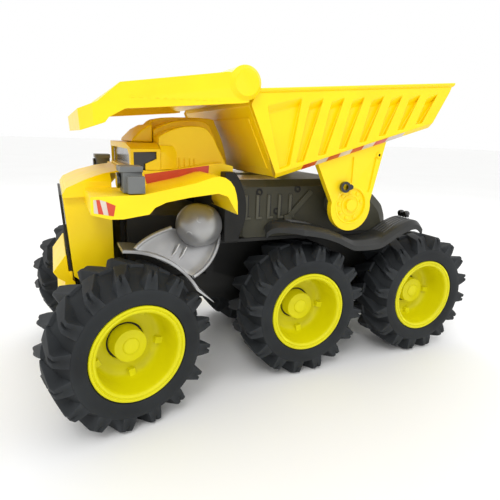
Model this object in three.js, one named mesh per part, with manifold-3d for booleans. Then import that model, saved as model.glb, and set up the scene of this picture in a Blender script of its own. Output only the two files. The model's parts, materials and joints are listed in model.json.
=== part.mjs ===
// Toy dump truck, six wheels, steered front axle, tipping bed.
// Millimetres. +X forward, +Y left, +Z up. The origin is on the floor, in the middle of the truck.
import * as THREE from 'three';
import Module from 'manifold-3d';
import { mergeVertices } from 'three/addons/utils/BufferGeometryUtils.js';

const wasm = await Module();
wasm.setup();

// ---------------------------------------------------------------- driving dimensions
const GAP = 0.35; // space left between neighbouring pieces

const CENTRING = -0.82; // moves the whole truck so that it is as long ahead of the origin as behind
const WHEEL_Z = 62; // wheel centre above the floor
const MID_X = -16; // middle axle
const REAR_X = -155.6; // rear axle
const REAR_TRACK = 92; // centre plane to the outer rim face, middle and rear wheels

const KINGPIN_X = 151.4;
const KINGPIN_Y = 84.4;
const KINGPIN_INSET = 37; // outer rim face to the kingpin, along the stub axle
const STEER = THREE.MathUtils.degToRad(13.4); // front wheels as they stand, turned left
const STEER_ARM = 17; // kingpin to tie rod pin

const TYRE_R = 62.4;
const TYRE_SIDES = 28;
const RIM_R = 37;
const RIM_SIDES = 24;
const WHEEL_WIDTH = 50;
const DISH_DEPTH = 28; // outer rim face to the floor of the dish
const CAP_R = 13;
const CAP_INSET = 16.8; // outer rim face to the hub cap's face
const AXLE_R = 4;
const AXLE_BORE_R = 4.4;

const PIVOT = { x: -55, z: 160 }; // axis that the bed tips about
const PIVOT_PIN_R = 3;

const FRAME_HALF = 33; // half width of the chassis frame between the wheels
const DECK_HALF = 64; // half width of the deck and housing above the wheels
const DECK_TOP = 129.5;
const DECK_REAR = -122;

const CAB_HALF = 60;
const NOSE_HALF = 50;
const FENDER_HALF = 110; // centre plane to the outside of a front fender
const SHELL = 2.6; // wall of the moulded yellow shells
const DOME_HALF = 52; // half width of the engine dome behind the cab

const BED_HALF = 95;
const BED_WALL = 7;
const RECESS = 4.5; // depth of the panels between the bed's ribs
const CANOPY_HALF = 100;
const CORNER_ROLL_R = 12.5; // round corner where the canopy meets the bed

// ---------------------------------------------------------------- materials
const paint = (color, roughness, metalness = 0) =>
  new THREE.MeshStandardMaterial({ color, roughness, metalness });
const BODY_YELLOW = paint(0xffdd00, 0.35);
const RIM_YELLOW = paint(0xeeee00, 0.4);
const TYRE_BLACK = paint(0x2b2d30, 0.85);
const BLACK = paint(0x1c1c1c, 0.55);
const CHASSIS_GREY = paint(0x4a4a44, 0.55);
const LAMP_GREY = paint(0x666666, 0.5);
const LENS_BLACK = paint(0x0a0a0a, 0.1);
const WINDOW_SMOKE = paint(0x33363c, 0.2);
const SILVER = paint(0xa4a6aa, 0.35, 0.6);
const STEEL = paint(0x8d8f92, 0.3, 1);

// ---------------------------------------------------------------- solids
// Bare positions with shared vertices, no zero-area triangles, faces pointing out.
function cleaned(geometry) {
  const bare = geometry.index ? geometry.toNonIndexed() : geometry.clone();
  bare.deleteAttribute('normal');
  bare.deleteAttribute('uv');
  const merged = mergeVertices(bare, 1e-4);
  const position = merged.attributes.position;
  const index = merged.index.array;
  const kept = [];
  let volume = 0;
  const a = new THREE.Vector3();
  const b = new THREE.Vector3();
  const c = new THREE.Vector3();
  for (let i = 0; i < index.length; i += 3) {
    const [p, q, r] = [index[i], index[i + 1], index[i + 2]];
    if (p === q || q === r || r === p) continue;
    kept.push(p, q, r);
    a.fromBufferAttribute(position, p);
    b.fromBufferAttribute(position, q);
    c.fromBufferAttribute(position, r);
    volume += a.dot(b.cross(c));
  }
  if (volume < 0) kept.reverse();
  return { positions: position.array, triangles: kept };
}

function solid(geometry) {
  const { positions, triangles } = cleaned(geometry);
  return new wasm.Manifold(new wasm.Mesh({
    numProp: 3,
    vertProperties: new Float32Array(positions),
    triVerts: new Uint32Array(triangles),
  }));
}

function geometryOf(manifold) {
  const mesh = manifold.getMesh();
  const geometry = new THREE.BufferGeometry();
  geometry.setAttribute('position', new THREE.BufferAttribute(mesh.vertProperties, 3));
  geometry.setIndex(new THREE.BufferAttribute(mesh.triVerts, 1));
  return geometry;
}

const join = (...solids) => solids.reduce((whole, piece) => whole.add(piece));
const cut = (whole, ...tools) => tools.reduce((left, tool) => left.subtract(tool), whole);

// The same geometry on the other side of the centre plane, faces still pointing out.
function mirrored(geometry) {
  const other = geometry.clone();
  other.scale(1, -1, 1);
  other.index.array.reverse();
  return other;
}

const shapeOf = (points) => new THREE.Shape(points.map(([u, v]) => new THREE.Vector2(u, v)));

// An outline of [x, z] points, drawn across the truck from y0 to y1.
function acrossGeometry(points, y0, y1) {
  const geometry = new THREE.ExtrudeGeometry(shapeOf(points), { depth: y1 - y0, bevelEnabled: false });
  geometry.rotateX(Math.PI / 2);
  geometry.translate(0, y1, 0);
  return geometry;
}
const across = (points, y0, y1) => solid(acrossGeometry(points, y0, y1));

// An outline of [x, y] points, drawn upwards from z0 to z1.
function upwards(points, z0, z1) {
  const geometry = new THREE.ExtrudeGeometry(shapeOf(points), { depth: z1 - z0, bevelEnabled: false });
  geometry.translate(0, 0, z0);
  return solid(geometry);
}

// An outline of [y, z] points, drawn forwards from x0 to x1.
function forwards(points, x0, x1) {
  const geometry = new THREE.ExtrudeGeometry(shapeOf(points), { depth: x1 - x0, bevelEnabled: false });
  geometry.applyMatrix4(new THREE.Matrix4().set(0, 0, 1, x0, 1, 0, 0, 0, 0, 1, 0, 0, 0, 0, 0, 1));
  return solid(geometry);
}

function box([x0, y0, z0], [x1, y1, z1]) {
  const geometry = new THREE.BoxGeometry(x1 - x0, y1 - y0, z1 - z0);
  geometry.translate((x0 + x1) / 2, (y0 + y1) / 2, (z0 + z1) / 2);
  return solid(geometry);
}

// A cylinder along Y, Z or X, from one end to the other.
function cylinderY(radius, x, z, y0, y1, sides = 20) {
  const geometry = new THREE.CylinderGeometry(radius, radius, y1 - y0, sides);
  geometry.translate(x, (y0 + y1) / 2, z);
  return solid(geometry);
}

function cylinderZ(radius, x, y, z0, z1, sides = 20) {
  const geometry = new THREE.CylinderGeometry(radius, radius, z1 - z0, sides);
  geometry.rotateX(Math.PI / 2);
  geometry.translate(x, y, (z0 + z1) / 2);
  return solid(geometry);
}

function cylinderX(radius, y, z, x0, x1, sides = 20) {
  const geometry = new THREE.CylinderGeometry(radius, radius, x1 - x0, sides);
  geometry.rotateZ(Math.PI / 2);
  geometry.translate((x0 + x1) / 2, y, z);
  return solid(geometry);
}

// A flat slab: its top face's corners in order, pushed along one vector.
function slab(corners, push) {
  const top = corners.map((corner) => new THREE.Vector3(...corner));
  const bottom = top.map((corner) => corner.clone().add(new THREE.Vector3(...push)));
  const count = top.length;
  const faces = [];
  for (let i = 1; i < count - 1; i += 1) {
    faces.push(top[0], top[i], top[i + 1]);
    faces.push(bottom[0], bottom[i + 1], bottom[i]);
  }
  for (let i = 0; i < count; i += 1) {
    const next = (i + 1) % count;
    faces.push(top[i], bottom[i], top[next]);
    faces.push(top[next], bottom[i], bottom[next]);
  }
  return solid(new THREE.BufferGeometry().setFromPoints(faces));
}

// A closed [radius, y] profile turned about the Y axis, with a flat at the very bottom.
function turned(profile, sides) {
  const points = profile.map(([radius, y]) => new THREE.Vector2(radius, y));
  points.push(points[0].clone());
  return solid(new THREE.LatheGeometry(points, sides, Math.PI / sides));
}

const arc = (x, z, radius, from, to, steps) =>
  Array.from({ length: steps + 1 }, (_, i) => {
    const angle = THREE.MathUtils.degToRad(from + ((to - from) * i) / steps);
    return [x + radius * Math.cos(angle), z + radius * Math.sin(angle)];
  });

// ---------------------------------------------------------------- scene graph
const truck = new THREE.Group();

function place(name, shape, material, parent = truck) {
  const geometry = shape instanceof THREE.BufferGeometry ? shape : geometryOf(shape);
  const mesh = new THREE.Mesh(geometry, material);
  mesh.name = name;
  parent.add(mesh);
  return mesh;
}

function placePair(name, leftShape, material) {
  const left = geometryOf(leftShape);
  place(`${name}_left`, left, material);
  place(`${name}_right`, mirrored(left), material);
}

// ---------------------------------------------------------------- wheels
// Wheel pieces are drawn about the Y axis with the outer rim face at y = 0, for a left wheel.
function tyreSolid() {
  const bead = RIM_R - 2.4;
  const inner = -WHEEL_WIDTH;
  return turned([
    [bead, inner + 2.7], [bead, -2.7], [RIM_R + 0.5, -2.7], [RIM_R + 0.8, 0.4], [50, 1.2],
    [60.6, -0.6], [TYRE_R, -4.5], [TYRE_R, inner + 6], [59, inner + 0.4], [RIM_R + 0.8, inner - 0.3],
    [RIM_R + 0.5, inner + 2.7],
  ], TYRE_SIDES);
}

function rimSolid() {
  const barrel = RIM_R - 3;
  const inner = -WHEEL_WIDTH;
  const floor = -DISH_DEPTH;
  return turned([
    [RIM_R, 0], [RIM_R, -2.3], [barrel, -2.3], [barrel, inner + 2.3], [RIM_R, inner + 2.3], [RIM_R, inner],
    [RIM_R - 5.2, inner], [RIM_R - 5.6, floor - 6], [26, floor - 2.2], [AXLE_BORE_R, floor - 2.2],
    [AXLE_BORE_R, floor], [23, floor], [28.5, floor + 5], [30.6, -3.2], [32.2, -1.4], [34.4, 0],
  ], RIM_SIDES);
}

function capSolid() {
  const base = -DISH_DEPTH + GAP;
  return turned([
    [0, -CAP_INSET + 1], [6, -CAP_INSET + 1], [7, -CAP_INSET], [CAP_R - 0.8, -CAP_INSET],
    [CAP_R, -CAP_INSET - 1], [CAP_R + 0.5, base], [AXLE_BORE_R, base], [AXLE_BORE_R, -CAP_INSET - 2],
    [0, -CAP_INSET - 2],
  ], 18);
}

const WHEEL_PIECES = [
  ['tyre', geometryOf(tyreSolid()), TYRE_BLACK],
  ['rim', geometryOf(rimSolid()), RIM_YELLOW],
  ['hub_cap', geometryOf(capSolid()), RIM_YELLOW],
];

function placeWheel(position, side, parent, x, y, z) {
  const sign = side === 'left' ? 1 : -1;
  for (const [piece, geometry, material] of WHEEL_PIECES) {
    const shape = sign > 0 ? geometry : mirrored(geometry);
    place(`${position}_${side}_${piece}`, shape, material, parent).position.set(x, sign * y, z);
  }
}

const AXLE_END = REAR_TRACK - CAP_INSET - 3.2;
for (const [position, x] of [['mid', MID_X], ['rear', REAR_X]]) {
  for (const side of ['left', 'right']) placeWheel(position, side, truck, x, REAR_TRACK, WHEEL_Z);
  place(`${position}_axle`, cylinderY(AXLE_R, x, WHEEL_Z, -AXLE_END, AXLE_END, 24), STEEL);
}

// ---------------------------------------------------------------- steering
const BARREL_R = 6;
const BARREL_HALF = 12;
const PIN_R = 2.5;
const EAR = 4; // thickness of the fork's ears
const BEAM_HALF = 7;
const ROD_Z = 51; // underside of the tie rod
const ROD_THICK = 4;

// A knuckle about its kingpin at x = y = 0, for the left side: the stub axle points to +Y.
function knuckleSolid() {
  const stubEnd = KINGPIN_INSET - CAP_INSET - 3.2;
  const body = join(
    cylinderZ(BARREL_R, 0, 0, -BARREL_HALF, BARREL_HALF),
    cylinderY(AXLE_R, 0, 0, 0, stubEnd, 24),
    box([-STEER_ARM, -3, -4], [0, 3, 0]),
    cylinderZ(3.6, -STEER_ARM, 0, -4, 0, 16),
    cylinderZ(2, -STEER_ARM, 0, ROD_Z - WHEEL_Z - 1, -2, 16),
  );
  return cut(body, cylinderZ(PIN_R + 0.2, 0, 0, -BARREL_HALF - 1, BARREL_HALF + 1));
}

const knuckle = geometryOf(knuckleSolid());
for (const side of ['left', 'right']) {
  const sign = side === 'left' ? 1 : -1;
  const turntable = new THREE.Group();
  turntable.position.set(KINGPIN_X, sign * KINGPIN_Y, WHEEL_Z);
  turntable.rotation.z = STEER;
  truck.add(turntable);
  place(`knuckle_${side}`, sign > 0 ? knuckle : mirrored(knuckle), BLACK, turntable);
  placeWheel('front', side, turntable, 0, KINGPIN_INSET, 0);
}

const EAR_TOP = BARREL_HALF + 0.6;
placePair('kingpin', join(
  cylinderZ(PIN_R, KINGPIN_X, KINGPIN_Y, WHEEL_Z - EAR_TOP - EAR - 1, WHEEL_Z + EAR_TOP + EAR + 0.5),
  cylinderZ(4, KINGPIN_X, KINGPIN_Y, WHEEL_Z + EAR_TOP + EAR + 0.4, WHEEL_Z + EAR_TOP + EAR + 2),
), STEEL);

// Front axle beam: a bar under the chassis with a fork at each end.
function forkSolid() {
  const x0 = KINGPIN_X - BEAM_HALF;
  const x1 = KINGPIN_X + BEAM_HALF;
  const webIn = KINGPIN_Y - 16;
  const webOut = KINGPIN_Y - 11;
  const earEnd = KINGPIN_Y + 5;
  const ear = (z) => box([x0, webIn, z], [x1, earEnd, z + EAR]);
  const lower = WHEEL_Z - EAR_TOP - EAR;
  const upper = WHEEL_Z + EAR_TOP;
  return cut(
    join(box([x0, webIn, lower], [x1, webOut, upper + EAR]), ear(lower), ear(upper)),
    cylinderZ(PIN_R + 0.3, KINGPIN_X, KINGPIN_Y, lower - 1, upper + EAR + 1),
  );
}

const CHASSIS_SEAT = 76; // where the beam's pad meets the chassis
const fork = forkSolid();
place('front_axle_beam', join(
  box([KINGPIN_X - BEAM_HALF, -KINGPIN_Y + 14, 57], [KINGPIN_X + BEAM_HALF, KINGPIN_Y - 14, 68]),
  box([KINGPIN_X - BEAM_HALF, -22, 67], [KINGPIN_X + BEAM_HALF, 22, CHASSIS_SEAT]),
  fork,
  solid(mirrored(geometryOf(fork))),
), BLACK);

// Tie rod: its pin holes sit where the steering arms hold them with the wheels turned left.
const ROD_X = KINGPIN_X - STEER_ARM * Math.cos(STEER);
const ROD_SHIFT = -STEER_ARM * Math.sin(STEER);
const pinY = [KINGPIN_Y + ROD_SHIFT, -KINGPIN_Y + ROD_SHIFT];
const rodHoles = pinY.map((y) => cylinderZ(2.9, ROD_X, y, ROD_Z - 1, ROD_Z + ROD_THICK + 1, 16));
place('tie_rod', cut(join(
  box([ROD_X - 2.5, pinY[1], ROD_Z], [ROD_X + 2.5, pinY[0], ROD_Z + ROD_THICK]),
  ...pinY.map((y) => cylinderZ(5, ROD_X, y, ROD_Z, ROD_Z + ROD_THICK, 16)),
), ...rodHoles), BLACK);

// ---------------------------------------------------------------- chassis
function frameSolid() {
  const bottom = 48;
  const top = DECK_TOP - 3;
  const side = [
    [-190, 62], [-180, bottom], [16, bottom], [48, 64], [124, CHASSIS_SEAT + GAP],
    [164, CHASSIS_SEAT + GAP], [168, 68], [180, 72], [180, 96], [142, 96], [142, 150], [60, 150],
    [60, top], [-112, top], [-126, 108], [-190, 108],
  ];
  const inside = [
    [-186, 40], [14, 40], [46, 60], [120, CHASSIS_SEAT - 2], [120, CHASSIS_SEAT + 4],
    [138, CHASSIS_SEAT + 4], [138, 146], [64, 146], [64, top - 3], [-108, top - 3], [-124, 104],
    [-186, 104],
  ];
  const shell = cut(
    join(
      across(side, -FRAME_HALF, FRAME_HALF),
      box([DECK_REAR, -DECK_HALF, DECK_TOP - 3], [63.5, DECK_HALF, DECK_TOP]),
      box([62, -46, 96], [138, 46, 150]),
    ),
    across(inside, -FRAME_HALF + 3, FRAME_HALF - 3),
    box([65, -43, 90], [135, 43, 147]),
  );
  return cut(
    shell,
    ...[MID_X, REAR_X].map((x) => cylinderY(AXLE_BORE_R, x, WHEEL_Z, -40, 40, 24)),
  );
}
place('chassis_frame', frameSolid(), BLACK);

// Side outline of the grey housing on the deck, with its rounded tail under the bed.
const HOUSING_TOP = 181;
const HOUSING_FRONT = 49.5;
const HOUSING_CHAMFER = 6; // slope between its top and its sides
const housingOutline = (inset, bottom) => [
  [HOUSING_FRONT - inset, bottom], [HOUSING_FRONT - inset, HOUSING_TOP - inset - 3],
  [HOUSING_FRONT - 4 - inset, HOUSING_TOP - inset],
  [-72, HOUSING_TOP - inset], [-94, 172 - inset], [-106 + inset / 2, 163 - inset / 2],
  [-116 + inset, 154 - inset / 2], [DECK_REAR + 1 + inset, 142], [DECK_REAR + inset, bottom],
];

const LOUVRES = { count: 5, firstX: 38.5, pitch: 10.9, width: 2.6, low: 146, high: 168 };
const BOSS_R = 13;

function housingSolid() {
  const slots = Array.from({ length: LOUVRES.count }, (_, i) => {
    const x = LOUVRES.firstX - i * LOUVRES.pitch;
    return [-1, 1].map((sign) => box(
      [x - LOUVRES.width / 2, sign * DECK_HALF - 1.2, LOUVRES.low],
      [x + LOUVRES.width / 2, sign * DECK_HALF + 1.2, LOUVRES.high],
    ));
  }).flat();
  const recesses = [[26, 170.5, 3.2], [-12.4, 172.5, 3.2], [8.2, 153, 3.2]].flatMap(([x, z, radius]) =>
    [-1, 1].map((sign) => cylinderY(radius, x, z, sign * DECK_HALF - 1.6, sign * DECK_HALF + 1.6, 14)));
  const strut = [[-24, 172], [-28, 169], [-5, 146], [-1, 149]];
  const bossEnd = 81.5;
  const outside = join(
    across(housingOutline(0, DECK_TOP + GAP), -DECK_HALF, DECK_HALF),
    across(strut, -DECK_HALF - 1.6, DECK_HALF + 1.6),
    cylinderY(BOSS_R, PIVOT.x, PIVOT.z, -bossEnd, bossEnd, 24),
  );
  const wall = 3.5;
  const inside = across(housingOutline(3.2, DECK_TOP - 5), -DECK_HALF + wall, DECK_HALF - wall);
  const topEdges = [-1, 1].map((sign) => {
    const edge = (x, step) => [x, sign * (DECK_HALF - HOUSING_CHAMFER + step), HOUSING_TOP - step];
    const steps = [-1, HOUSING_CHAMFER + 3];
    return slab([
      edge(HOUSING_FRONT + 1, steps[0]), edge(HOUSING_FRONT + 1, steps[1]), edge(DECK_REAR - 1, steps[1]),
      edge(DECK_REAR - 1, steps[0]),
    ], [0, sign * 8, 8]);
  });
  const thickTop = [-1, 1].map((sign) => slab([
    [60, sign * (DECK_HALF - HOUSING_CHAMFER - wall), HOUSING_TOP], [60, sign * DECK_HALF, 172],
    [-130, sign * DECK_HALF, 172], [-130, sign * (DECK_HALF - HOUSING_CHAMFER - wall), HOUSING_TOP],
  ], [0, sign * 8, 8]));
  return cut(
    outside,
    cut(inside, ...thickTop),
    ...topEdges,
    ...slots,
    ...recesses,
    cylinderY(PIVOT_PIN_R + 0.3, PIVOT.x, PIVOT.z, -bossEnd - 1, bossEnd + 1, 16),
  );
}
place('chassis_housing', housingSolid(), CHASSIS_GREY);

// Black cover over a middle and a rear wheel: two humps with a dip between the tyres.
const FENDER_LINE = [
  [20, 139], [14, 144], [0, 145], [-22, 141.5], [-40, 136], [-54, 129.5], [-64, 126.5], [-88, 126.5],
  [-100, 131], [-114, 138.5], [-128, 143], [-136, 142], [-141, 138],
];
const FENDER_OUTER = 93;
function rearFenderSolid() {
  const inner = DECK_HALF + GAP;
  const wall = 3;
  const band = (from, to) => [
    ...FENDER_LINE.map(([x, z]) => [x, z + from]),
    ...FENDER_LINE.map(([x, z]) => [x, z + to]).reverse(),
  ];
  const corner = (inset) => upwards([
    [-6 - inset, FENDER_OUTER + 1], [30, FENDER_OUTER + 1], [30, inner - 4 - inset],
  ], 100, 160);
  const hollow = across(band(-wall, -15), inner + wall, FENDER_OUTER - wall).subtract(corner(wall));
  const rearWall = box([-145, inner, 120], [-138, FENDER_OUTER, 150]);
  return cut(across(band(0, -9), inner, FENDER_OUTER), hollow.subtract(rearWall), corner(0));
}
placePair('rear_fender', rearFenderSolid(), BLACK);

// Curved black plate behind each front wheel, standing on the front edge of the deck.
const LINER = { x: 92, z: 158, radius: 49, front: 63 };
placePair('wheel_arch_liner', across([
  ...arc(LINER.x, LINER.z, LINER.radius, 141, 209, 10),
  [LINER.front - 14, DECK_TOP + GAP], [LINER.front, DECK_TOP + GAP], [LINER.front, 188.8],
], DECK_HALF + GAP, DECK_HALF + 12), BLACK);

placePair('pivot_pin', join(
  cylinderY(PIVOT_PIN_R, PIVOT.x, PIVOT.z, 50, 88, 16),
  cylinderY(5.2, PIVOT.x, PIVOT.z, 87.4, 89.4, 16),
), STEEL);

placePair('tail_lamps', join(
  cylinderX(3, 68, 147, -137, -130, 14),
  cylinderX(3, 76, 147, -137, -130, 14),
  box([-136, 66, 143.6], [-132, 78, 147]),
), BLACK);

// ---------------------------------------------------------------- front body
// Side outline of a front fender: top edge, rear tip, then the wheel arch back to the front.
const FENDER_TOP = [[170, 175.5], [135, 176.2], [98, 183.7], [85, 187.8], [79.5, 188.4]];
const FENDER_REAR = [[75.3, 187.4], [71.3, 184.7], [68.1, 180.3], [66.4, 175], [65.4, 169.5], [65, 159.5]];
const FENDER_ARCH = [
  [73.3, 173.5], [80.7, 176], [102.6, 173.5], [119.5, 170.5], [127.5, 167], [131.5, 162.5],
  [149.5, 159.8], [158, 160], [170, 163.5],
];

function frontFenderSolid(sign) {
  const reach = (inner, outer) => (sign > 0 ? [inner, outer] : [-outer, -inner]);
  const outline = [...FENDER_TOP, ...FENDER_REAR, ...FENDER_ARCH];
  const cavity = [
    [170 - SHELL, 150], [170 - SHELL, 175.5 - SHELL], [135, 176.2 - SHELL], [85, 184.8], [79.5, 185.4],
    [73.5, 182.4], [70.6, 178.5], [68.2, 169.5], [67.8, 150],
  ];
  return cut(
    across(outline, ...reach(CAB_HALF - 12, FENDER_HALF)),
    across(cavity, ...reach(CAB_HALF - 20, FENDER_HALF - SHELL)),
  );
}

function frontBodySolid() {
  const nose = [[150, 104], [176, 99.5], [181.5, 104], [186, 171], [184.5, 174], [150, 180]];
  const noseInside = [[140, 90], [178, 90], [178.6, 106], [183, 171], [150, 177], [140, 177]];
  const hood = [
    [186, 171], [183, 175.5], [170, 181.5], [155, 186], [138, 189], [66, 189], [66, 172], [186, 168],
  ];
  const hoodInside = [[180, 160], [180, 172.5], [168, 178.5], [138, 186.2], [69, 186.2], [69, 160]];
  const cowl = [[50, 176], [50, 189], [140, 189], [140, 172]];
  const cowlInside = [[53, 160], [53, 186.2], [150, 186.2], [150, 160]];
  const shoulder = [[105, 188], [105, 189], [71, 194], [60, 195], [50, 192.5], [50, 188]];
  const shoulderIn = DOME_HALF + GAP;
  const hoodTop = 190;
  const hoodEdges = [-1, 1].map((sign) => forwards([
    [sign * (NOSE_HALF - 6), hoodTop], [sign * (NOSE_HALF + 9), hoodTop - 12],
    [sign * (NOSE_HALF + 9), hoodTop],
  ], 140.5, 190));
  const outside = join(
    across(nose, -NOSE_HALF, NOSE_HALF),
    cut(across(hood, -NOSE_HALF - 6, NOSE_HALF + 6), ...hoodEdges),
    across(cowl, -CAB_HALF, CAB_HALF),
    across(shoulder, shoulderIn, CAB_HALF),
    across(shoulder, -CAB_HALF, -shoulderIn),
    frontFenderSolid(1),
    frontFenderSolid(-1),
  );
  return cut(
    outside,
    across(noseInside, -NOSE_HALF + SHELL, NOSE_HALF - SHELL),
    across(hoodInside, -NOSE_HALF + SHELL, NOSE_HALF - SHELL),
    across(cowlInside, -CAB_HALF + SHELL, CAB_HALF - SHELL),
  );
}
place('front_body', frontBodySolid(), BODY_YELLOW);

const GRILLE_BARS = 6;
function grilleSolid() {
  const plate = across([[182.4, 107], [184.6, 107], [188.4, 169], [186.3, 169]], -44, 44);
  const grooves = Array.from({ length: GRILLE_BARS }, (_, i) => {
    const z = 114 + i * 9;
    const x = 184.6 + ((z - 107) / 62) * 3.8;
    return box([x - 1, -38, z], [x + 2, 38, z + 4.5]);
  });
  return cut(plate, ...grooves);
}
place('grille', grilleSolid(), BLACK);

place('front_bumper', across([
  [187, 120.5], [197, 107], [193.5, 101.5], [188.5, 98], [189, 93], [194.5, 87], [190.5, 79.5],
  [185, 82], [180.6, 84], [180.6, 97], [182.4, 99], [182.4, 106.5], [185.2, 106.5], [186, 120.5],
], -44, 44), BODY_YELLOW);

// ---------------------------------------------------------------- cab and engine dome
const CAB_BASE = 189 + GAP;
const CAB_SECTION = [[-CAB_HALF, CAB_BASE], [CAB_HALF, CAB_BASE], [CAB_HALF, 205.5], [48, 210], [-48, 210],
  [-CAB_HALF, 205.5]];
const DOME_GAP_X = 112; // rear of the cab, front of the dome's sides

const CAB_FRONT = 138;
const GLASS_FRONT = 133; // the glazing stands behind the windscreen's frame
function cabSolid() {
  const wall = SHELL;
  const inside = [[-CAB_HALF + wall, CAB_BASE - 5], [CAB_HALF - wall, CAB_BASE - 5], [CAB_HALF - wall, 204],
    [47, 207.4], [-47, 207.4], [-CAB_HALF + wall, 204]];
  const windscreen = [[-57, 191], [57, 191], [56, 201], [52, 205.4], [-52, 205.4], [-56, 201]];
  const corners = [-1, 1].map((sign) => upwards([
    [CAB_FRONT + 0.1, sign * 42], [CAB_FRONT - 2.6, sign * 60.1], [CAB_FRONT + 0.1, sign * 60.1],
  ], 180, 220));
  const sideWindow = [[133, 189], [133, 203], [115, 203.6], [115, 198], [124, 194], [124, 189]];
  return cut(
    forwards(CAB_SECTION, DOME_GAP_X, CAB_FRONT),
    ...corners,
    forwards(inside, DOME_GAP_X - 5, GLASS_FRONT + GAP),
    forwards(windscreen, 130, 145),
    across(sideWindow, -CAB_HALF - 5, CAB_HALF + 5),
  );
}
place('cab_shell', cabSolid(), BODY_YELLOW);

place('cab_glazing', forwards([
  [-CAB_HALF + 3.1, CAB_BASE], [CAB_HALF - 3.1, CAB_BASE], [CAB_HALF - 3.1, 203.6], [46.8, 206.8],
  [-46.8, 206.8], [-CAB_HALF + 3.1, 203.6],
], DOME_GAP_X + GAP, GLASS_FRONT), WINDOW_SMOKE);

// The dome steps down from a tall narrow ridge to a low wide shell.
const DOME_STEPS = [
  {
    half: 14,
    line: [[111.5, 226], [100, 231.5], [57, 232.5], [50, 227], [43, 212], [39, 197], [38, CAB_BASE]],
  },
  {
    half: 32,
    line: [[111.5, 221], [98, 227], [84, 229.5], [65, 228.5], [57, 216], [50, 199], [46, CAB_BASE]],
  },
  {
    half: DOME_HALF,
    line: [
      [111.5, 215.5], [103, 220], [93, 223.4], [81, 224.6], [72, 223], [65, 216], [61, 208], [55, 197],
      [51, CAB_BASE],
    ],
  },
];
function domeSolid() {
  const front = [[DOME_GAP_X - GAP, CAB_BASE]];
  const layers = DOME_STEPS.map(({ half, line }) => across([...front, ...line], -half, half));
  const hollow = across([
    [DOME_GAP_X - 4, CAB_BASE - 5], [DOME_GAP_X - 4, 210], [95, 219], [78, 220], [70, 214], [60, 197],
    [57, CAB_BASE - 5],
  ], -48, 48);
  return cut(join(...layers), hollow);
}
place('engine_dome', domeSolid(), BODY_YELLOW);

// The dome's front slope runs on over the cab roof as a separate crest.
place('roof_crest', across([
  [DOME_GAP_X + 0.1, 210 + GAP], [130, 210 + GAP], [129, 213], [121, 221], [DOME_GAP_X + 0.1, 226],
], -32, 32), BODY_YELLOW);

// ---------------------------------------------------------------- headlamps
const LAMP_BASE = 176.9;
placePair('headlamp', join(
  box([134.5, 86, LAMP_BASE], [147.5, 103, 191.5]),
  box([134, 85, 191], [149.5, 103.5, 195]),
  box([133.8, 102.5, LAMP_BASE], [145.2, 109, 188.5]),
  box([147, 89.5, 180], [148.2, 100.5, 191.2]),
), LAMP_GREY);
placePair('headlamp_lens', cylinderX(5.6, 95, 185, 148.2 + GAP, 151.2, 24), LENS_BLACK);

// ---------------------------------------------------------------- silver strut covers
// Mudguard arc over the inner half of a front tyre, a tray rising from it, and a round cap on top.
const GUARD = { x: 150.4, z: 62, inner: 68, outer: 70.5, from: 92, to: 152 };
function strutCoverSolid() {
  const guard = across([
    ...arc(GUARD.x, GUARD.z, GUARD.outer, GUARD.from, GUARD.to, 12),
    [76, 83], [75, 81.5],
    ...arc(GUARD.x, GUARD.z, GUARD.inner, GUARD.to, GUARD.from, 12),
  ], 60, 88);
  const tray = slab([[138, 87.5, 132], [94, 87, 106], [68, 71.5, 131], [110, 74, 144]], [-2, -12, -5]);
  const rails = [
    slab([[140, 88, 133.4], [135.5, 88, 130.4], [108, 74, 143.5], [112, 74, 145.5]], [1.5, 3, 3]),
    slab([[98.5, 88, 108.8], [93, 88, 105], [68, 73, 130], [74, 73, 133]], [1.5, 3, 3]),
  ];
  const capAxis = new THREE.Vector3(0.6, 0.77, 0.2).normalize();
  const capProfile = [[0, 5.5], [11, 5.5], [16.5, 0], [17.8, -2], [17.8, -22], [0, -22]];
  const cap = new THREE.LatheGeometry(capProfile.map(([r, y]) => new THREE.Vector2(r, y)), 26);
  cap.applyQuaternion(new THREE.Quaternion().setFromUnitVectors(new THREE.Vector3(0, 1, 0), capAxis));
  cap.translate(91, 79, 147.5);
  return join(guard, tray, ...rails, solid(cap));
}
placePair('strut_cover', strutCoverSolid(), SILVER);

// ---------------------------------------------------------------- bed
// Side view of the bed: the floor rises to an open rear end.
const BED = { frontLow: [25, 185], frontHigh: [51, 241], railFront: [40, 253.5], railRear: [-154, 271.5],
  rearLow: [-134.8, 231] };
const FLOOR_RISE = (BED.rearLow[1] - BED.frontLow[1]) / (BED.rearLow[0] - BED.frontLow[0]);
const floorZ = (x) => BED.frontLow[1] + (x - BED.frontLow[0]) * FLOOR_RISE;
const RAIL_RISE = (BED.railRear[1] - BED.railFront[1]) / (BED.railRear[0] - BED.railFront[0]);
const railZ = (x) => BED.railFront[1] + (x - BED.railFront[0]) * RAIL_RISE;

// Recessed panels between the ribs, each leaning back towards the rear. The front one is wider.
const PANELS = 7;
const PANEL_PITCH = 20.4;
function panelOutline(i) {
  const top = -2 - PANEL_PITCH * i;
  const bottom = 8 - PANEL_PITCH * i;
  return [[top, railZ(top) - 12], [top - 12, railZ(top - 12) - 8.5], [bottom - 7, floorZ(bottom - 7) + 7],
    [bottom, floorZ(bottom) + 8]];
}
const FRONT_PANEL = [[36, 241], [6, 249], [14, floorZ(14) + 7], [23, floorZ(23) + 7]];

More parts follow.
